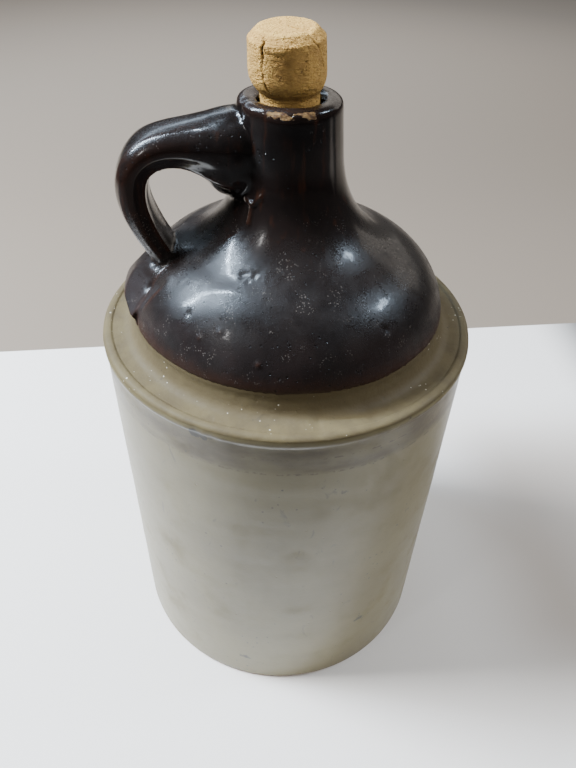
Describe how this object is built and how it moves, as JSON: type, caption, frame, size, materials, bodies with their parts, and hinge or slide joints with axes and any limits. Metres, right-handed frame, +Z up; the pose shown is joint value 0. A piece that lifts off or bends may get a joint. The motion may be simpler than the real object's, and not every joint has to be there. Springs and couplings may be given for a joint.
{
  "type": "whiskey jug",
  "caption": "Stoneware shoulder jug with a straight cream body, a flat ledge, a dark slip-glazed dome and neck, a pulled strap handle and a cork.",
  "frame": {"origin": "centre of the flat base, on the surface the jug stands on", "axes": "+Z up along the axis of the jug; the handle reaches towards -X"},
  "size_m": [0.1712, 0.1712, 0.3206],
  "materials": {
    "stoneware": "cream glaze below, near-black brown slip glaze on the dome, neck and handle",
    "cork": "bare pressed cork, cracked and stained"
  },
  "bodies": {
    "root": {"jug": "stoneware", "cork": "cork"}
  },
  "joints": []
}
